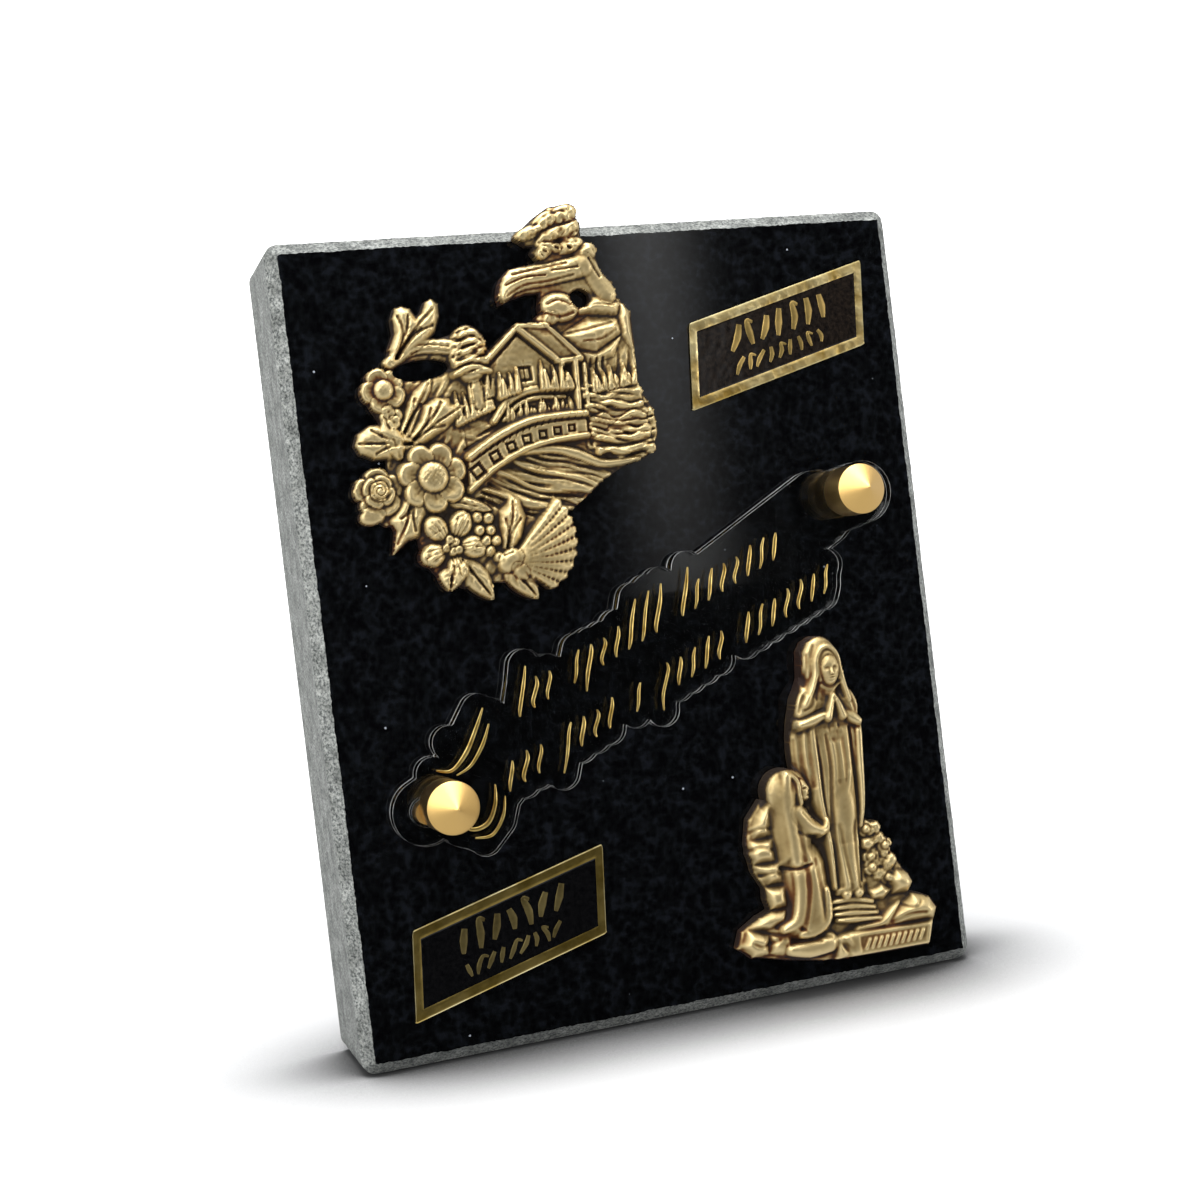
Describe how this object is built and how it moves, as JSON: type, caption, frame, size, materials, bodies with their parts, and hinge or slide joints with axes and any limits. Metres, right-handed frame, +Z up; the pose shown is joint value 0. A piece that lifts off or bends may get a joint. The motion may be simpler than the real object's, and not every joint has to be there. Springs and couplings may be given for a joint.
{
  "type": "memorial plaque",
  "caption": "Small standing memorial plaque: dark polished granite slab with cast bronze reliefs, a clear lettering panel on brass fixings, and foil labels.",
  "frame": {"origin": "middle of the slab's underside, where it stands", "axes": "+Z up the slab, +Y out of its back, +X to the right seen from the front; the decorated front faces -Y"},
  "size_m": [0.123, 0.0392, 0.1533],
  "materials": {
    "granite": "polished black granite face, sawn grey chamfer, sides and back",
    "bronze": "cast bronze, dark patina in the hollows, rubbed bright on the high parts",
    "acrylic": "clear cast acrylic with polished cut edges",
    "brass": "turned brass with a fine facing on the cone",
    "foil": "metallised gold foil label with a near-black field"
  },
  "bodies": {
    "root": {"granite_slab": "granite", "landscape_relief": "bronze", "figures_relief": "bronze", "lettering_panel": "acrylic", "left_fixing": "brass", "right_fixing": "brass", "upper_label": "foil", "lower_label": "foil"}
  },
  "joints": []
}
